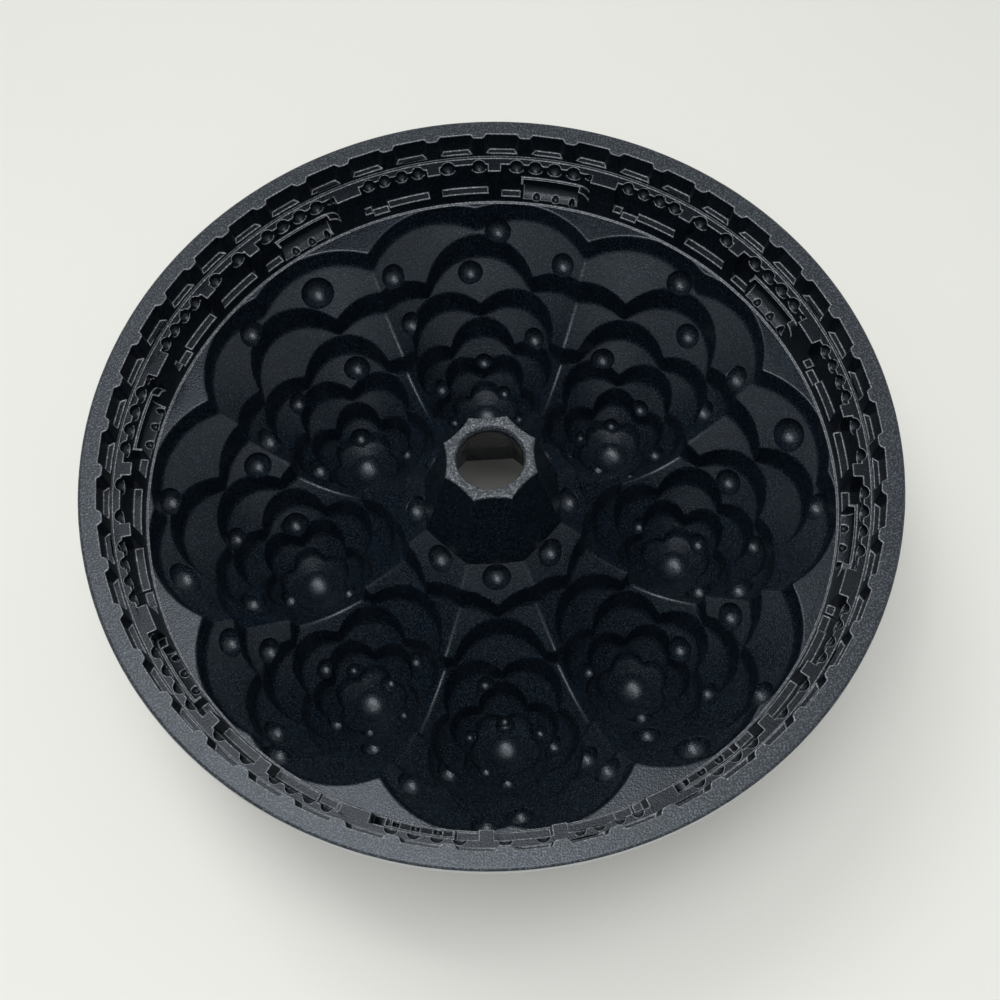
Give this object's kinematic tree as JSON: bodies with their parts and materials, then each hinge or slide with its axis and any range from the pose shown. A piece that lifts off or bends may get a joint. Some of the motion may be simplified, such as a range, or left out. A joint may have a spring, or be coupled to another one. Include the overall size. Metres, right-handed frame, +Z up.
{
  "type": "ring cake pan",
  "caption": "Cast ring cake pan with a centre tube and a ring of deep lobed tree cups, under a notched rim and a wall with a toy train and sleepers in relief",
  "frame": {"origin": "on the pan's axis, in the plane the cup tips stand on", "axes": "+Z points up out of the pan's mouth; +X points to the middle of tree_cup_1"},
  "size_m": [0.2538, 0.2538, 0.109],
  "materials": {
    "rim_coat": "satin dark grey non-stick coat on cast aluminium",
    "inner_coat": "satin near-black non-stick coat on cast aluminium"
  },
  "bodies": {
    "root": {"rim_flange": "rim_coat", "sleeper_band": "inner_coat", "train_band": "inner_coat", "tree_cup_1": "inner_coat", "tree_cup_2": "inner_coat", "tree_cup_3": "inner_coat", "tree_cup_4": "inner_coat", "tree_cup_5": "inner_coat", "tree_cup_6": "inner_coat", "tree_cup_7": "inner_coat", "tree_cup_8": "inner_coat", "centre_tube": "rim_coat"}
  },
  "joints": []
}
